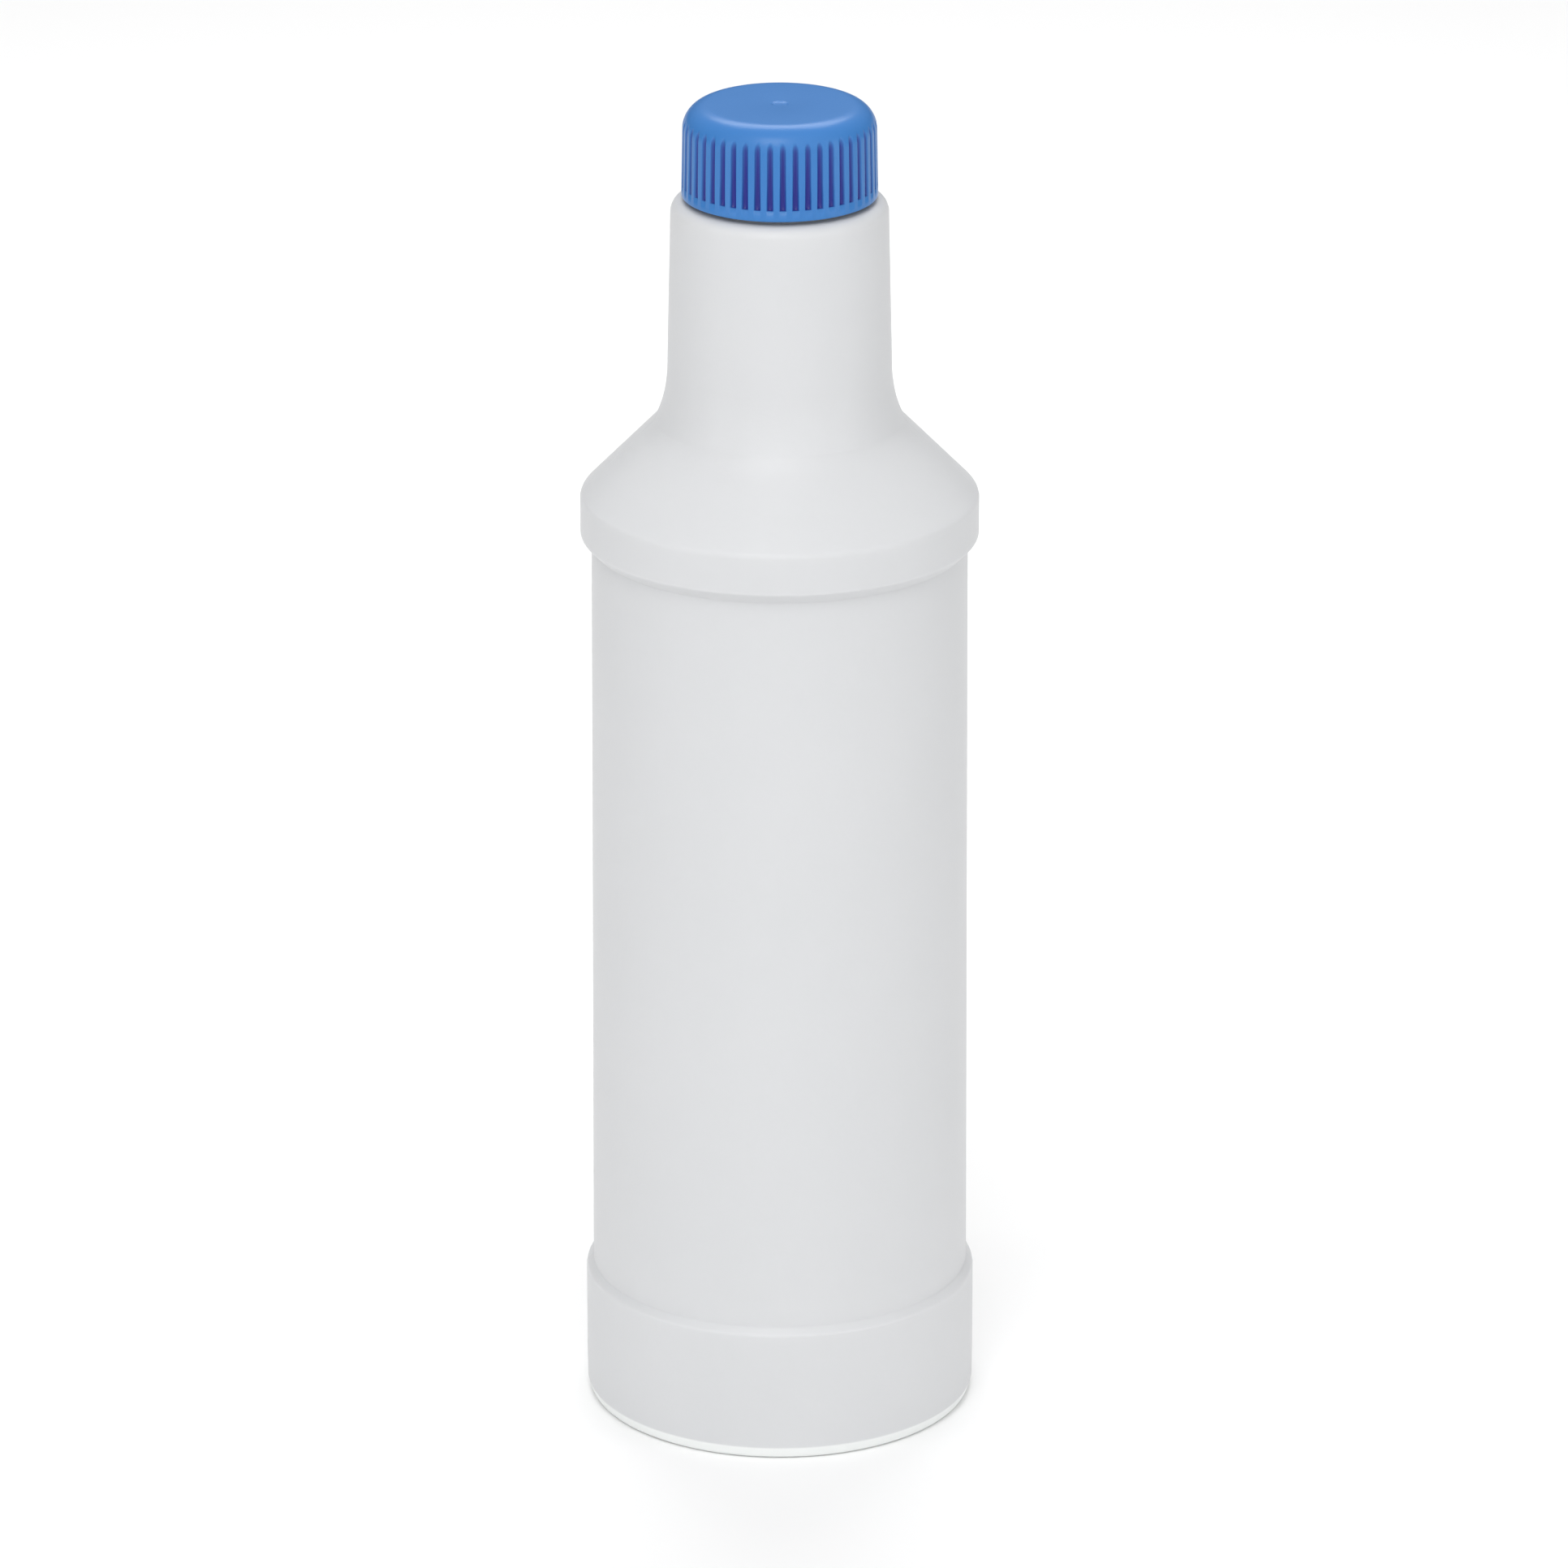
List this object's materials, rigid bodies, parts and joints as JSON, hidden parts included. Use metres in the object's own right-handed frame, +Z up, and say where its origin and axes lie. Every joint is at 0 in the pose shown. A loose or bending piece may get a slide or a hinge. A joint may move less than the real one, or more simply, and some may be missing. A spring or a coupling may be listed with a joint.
{
  "type": "plastic bottle",
  "caption": "Round blown plastic bottle with a recessed label panel, a sloping shoulder, a wide neck and a ribbed screw cap.",
  "frame": {"origin": "middle of the bottle's foot, on the table", "axes": "+Z up along the bottle's axis, front towards -Y"},
  "size_m": [0.084, 0.084, 0.2895],
  "materials": {
    "bottle": "satin natural HDPE, as blown",
    "wad": "matt foam",
    "cap": "satin moulded polypropylene"
  },
  "bodies": {
    "bottle": {"bottle": "bottle"},
    "wad": {"sealing_wad": "wad"},
    "cap": {"cap": "cap"}
  },
  "joints": [
    {"name": "cap_lift", "type": "slide", "parent": "bottle", "child": "wad", "axis": [0, 0, 1], "range_m": [0, 0.0254]},
    {"name": "cap_turn", "type": "hinge", "parent": "wad", "child": "cap", "pos_m": [0, 0, 0.287], "axis": [0, 0, 1], "range_deg": [0, 2160]}
  ],
  "couplings": [
    {"joint": "cap_lift", "follows": "cap_turn", "m_per_rad": 0.00067323}
  ]
}
